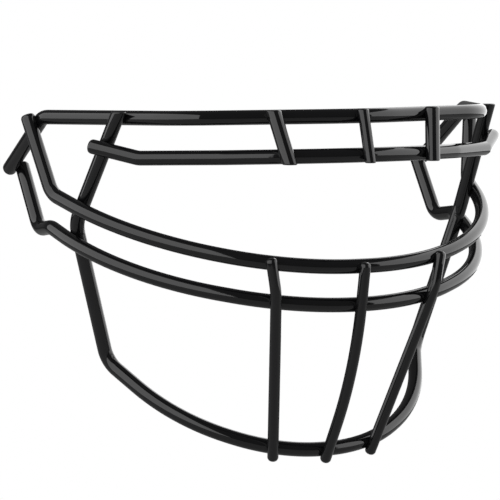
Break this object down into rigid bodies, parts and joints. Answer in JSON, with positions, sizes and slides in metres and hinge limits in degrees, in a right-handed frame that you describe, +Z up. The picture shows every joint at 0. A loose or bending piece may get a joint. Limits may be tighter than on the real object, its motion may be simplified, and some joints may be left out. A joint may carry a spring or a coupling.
{
  "type": "football helmet face guard",
  "caption": "Welded wire face guard for a football helmet: bent coated steel rods that cross over the brow, mouth and chin, with an open eye gap.",
  "frame": {"origin": "on the mirror plane, level with the top brow bar and midway between its two side bends", "axes": "+X to the right as the guard is seen from the front, and names say left and right in that view; X = 0 is the mirror plane; -Y is the front and +Y is towards the face; +Z is up"},
  "size_m": [0.2542, 0.1558, 0.172],
  "materials": {
    "steel_rod": "drawn carbon steel rod, hidden under the coat",
    "black_coat": "smooth high-gloss black dipped polymer coat"
  },
  "bodies": {
    "root": {"top_brow_rod": "steel_rod", "lower_brow_rod": "steel_rod", "upper_mouth_rod": "steel_rod", "lower_mouth_rod": "steel_rod", "side_chin_rod": "steel_rod", "left_brow_tie_rod": "steel_rod", "centre_brow_tie_rod": "steel_rod", "right_brow_tie_rod": "steel_rod", "left_jaw_rod": "steel_rod", "centre_jaw_rod": "steel_rod", "right_jaw_rod": "steel_rod", "top_brow_coat": "black_coat", "lower_brow_coat": "black_coat", "upper_mouth_coat": "black_coat", "lower_mouth_coat": "black_coat", "side_chin_coat": "black_coat", "left_brow_tie_coat": "black_coat", "centre_brow_tie_coat": "black_coat", "right_brow_tie_coat": "black_coat", "left_jaw_coat": "black_coat", "centre_jaw_coat": "black_coat", "right_jaw_coat": "black_coat"}
  },
  "joints": []
}
